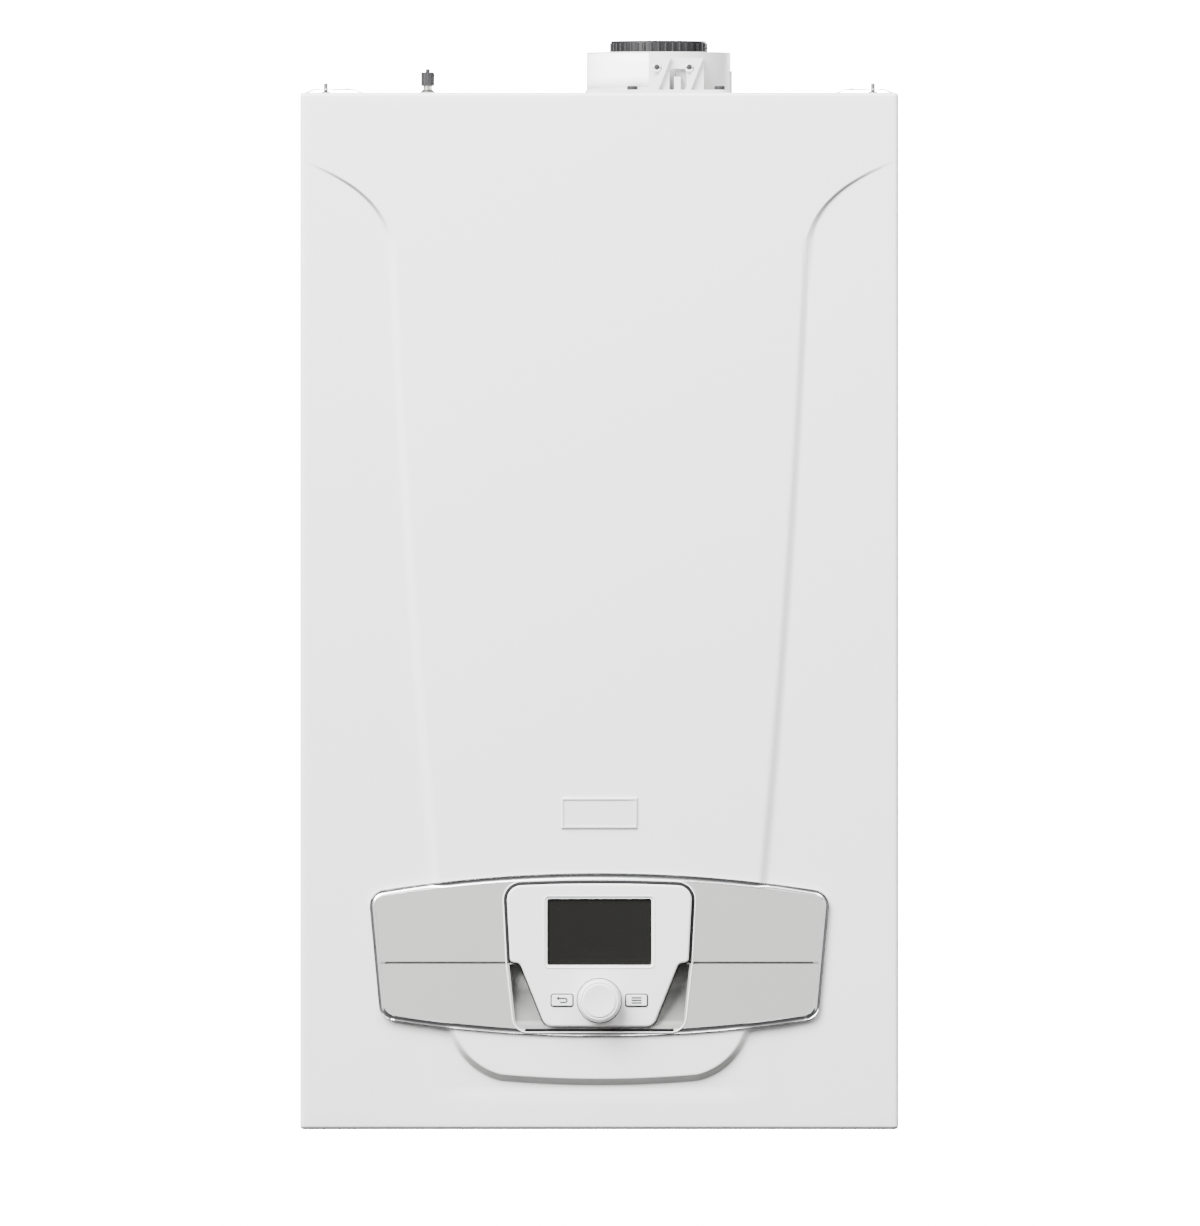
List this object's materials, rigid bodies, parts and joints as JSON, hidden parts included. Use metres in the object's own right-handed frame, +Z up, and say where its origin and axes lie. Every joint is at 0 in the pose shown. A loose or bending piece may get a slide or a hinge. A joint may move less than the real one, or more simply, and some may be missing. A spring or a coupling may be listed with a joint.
{
  "type": "wall-hung gas boiler",
  "caption": "White wall-hung condensing gas boiler with a pressed front panel, arched grey facia, central control unit with display and knob, and a round flue adapter on top.",
  "frame": {"origin": "on the wall plane, at the lower edge of the casing, on its centre line", "axes": "+X to the boiler's right as seen from the front, +Y into the wall, +Z up; the front faces -Y"},
  "size_m": [0.45, 0.3654, 0.8239],
  "materials": {
    "white_panel": "white stoved enamel",
    "casing_steel": "white stoved enamel",
    "galvanised": "galvanised sheet",
    "zinc": "zinc plated",
    "foam": "soft black foam",
    "white_plastic": "fine-grained white moulding",
    "facia_grey": "satin silver-grey lacquer",
    "bright_trim": "satin chrome",
    "badge": "plain satin plate",
    "display_glass": "dark tinted",
    "display": "dark display",
    "box_grey": "dark grey moulding",
    "board_green": "green circuit board",
    "black_plastic": "black moulding",
    "black_rubber": "ribbed rubber",
    "flue_plastic": "white moulding",
    "brass": "machined brass",
    "copper": "drawn copper",
    "cast_aluminium": "die cast",
    "coil_metal": "drawn tube",
    "composite_grey": "glass-filled plastic",
    "burner_steel": "perforated steel",
    "ceramic": "ceramic",
    "wheel": "formed sheet",
    "plate_steel": "brazed stainless plates",
    "vessel_red": "red enamel",
    "pump_iron": "painted casting",
    "trap_plastic": "moulded",
    "hose_grey": "soft hose",
    "red_plastic": "red moulding"
  },
  "bodies": {
    "casing": {"back_panel": "galvanised", "left_side_panel": "casing_steel", "right_side_panel": "casing_steel", "top_panel": "casing_steel", "bottom_panel": "casing_steel", "hinge_rail": "galvanised", "opening_seal": "foam", "locating_studs": "zinc", "casing_screws": "zinc", "flue_adapter": "flue_plastic", "flue_seal": "black_rubber", "charge_valve": "zinc", "exchanger_shell": "composite_grey", "exchanger_coil": "coil_metal", "burner": "burner_steel", "burner_door": "cast_aluminium", "burner_door_nuts": "zinc", "electrodes": "ceramic", "fan_housing": "cast_aluminium", "fan_motor": "cast_aluminium", "gas_air_mixer": "cast_aluminium", "gas_valve": "cast_aluminium", "gas_mixer_pipe": "copper", "gas_inlet_pipe": "copper", "connection_tails": "brass", "flow_group": "brass", "diverter_motor": "black_plastic", "return_group": "brass", "pump_motor": "pump_iron", "relief_valve": "brass", "plate_exchanger": "plate_steel", "expansion_vessel": "vessel_red", "vessel_pipe": "copper", "flow_pipe": "copper", "return_pipe": "copper", "condensate_trap": "trap_plastic", "condensate_hose": "hose_grey", "cable_gland": "black_plastic"},
    "front_panel": {"front_panel": "white_panel", "badge_plate": "badge", "panel_screws": "zinc"},
    "control_box": {"control_box": "box_grey", "control_box_cover": "box_grey", "main_board": "board_green", "facia_band": "facia_grey", "facia_trim": "bright_trim"},
    "control_unit": {"unit_front": "white_plastic", "unit_rear": "white_plastic", "display_window": "display_glass", "display_module": "display", "unit_board": "board_green"},
    "encoder_rotor": {"encoder_rotor": "black_plastic"},
    "knob": {"knob": "white_plastic"},
    "back_button": {"back_button": "white_plastic"},
    "menu_button": {"menu_button": "white_plastic"},
    "left_test_plug": {"left_test_plug": "flue_plastic"},
    "right_test_plug": {"right_test_plug": "flue_plastic"},
    "charge_valve_cap": {"charge_valve_cap": "black_plastic"},
    "fan_impeller": {"fan_impeller": "wheel"},
    "relief_knob": {"relief_knob": "red_plastic"}
  },
  "joints": [
    {"name": "front_panel_lift", "type": "slide", "parent": "casing", "child": "front_panel", "axis": [0, -1, 0], "range_m": [0, 0.45]},
    {"name": "control_box_fold", "type": "hinge", "parent": "casing", "child": "control_box", "pos_m": [0, -0.332, 0.048], "axis": [1, 0, 0], "range_deg": [0, 86]},
    {"name": "control_unit_pull", "type": "slide", "parent": "control_box", "child": "control_unit", "axis": [0, -1, 0], "range_m": [0, 0.06]},
    {"name": "knob_turn", "type": "hinge", "parent": "control_unit", "child": "encoder_rotor", "pos_m": [0, -0.345, 0.097], "axis": [0, 1, 0], "continuous": true},
    {"name": "knob_press", "type": "slide", "parent": "encoder_rotor", "child": "knob", "axis": [0, 1, 0], "range_m": [0, 0.0008], "stiffness_N_per_m": 500, "springref_m": -0.002},
    {"name": "back_button_press", "type": "slide", "parent": "control_unit", "child": "back_button", "axis": [0, 1, 0], "range_m": [0, 0.001], "stiffness_N_per_m": 400, "springref_m": -0.002},
    {"name": "menu_button_press", "type": "slide", "parent": "control_unit", "child": "menu_button", "axis": [0, 1, 0], "range_m": [0, 0.001], "stiffness_N_per_m": 400, "springref_m": -0.002},
    {"name": "left_test_plug_pull", "type": "slide", "parent": "casing", "child": "left_test_plug", "axis": [0, -1, 0], "range_m": [0, 0.03]},
    {"name": "right_test_plug_pull", "type": "slide", "parent": "casing", "child": "right_test_plug", "axis": [0, -1, 0], "range_m": [0, 0.03]},
    {"name": "charge_valve_cap_lift", "type": "slide", "parent": "casing", "child": "charge_valve_cap", "axis": [0, 0, 1], "range_m": [0, 0.02]},
    {"name": "fan_spin", "type": "hinge", "parent": "casing", "child": "fan_impeller", "pos_m": [0.045, -0.244, 0.39], "axis": [1, 0, 0], "continuous": true},
    {"name": "relief_knob_turn", "type": "hinge", "parent": "casing", "child": "relief_knob", "pos_m": [0.092, -0.23, 0.074], "axis": [0, 1, 0], "range_deg": [0, 90]}
  ],
  "couplings": [
    {"joint": "control_box_fold", "follows": "front_panel_lift", "rad_per_m": 3.2967}
  ]
}
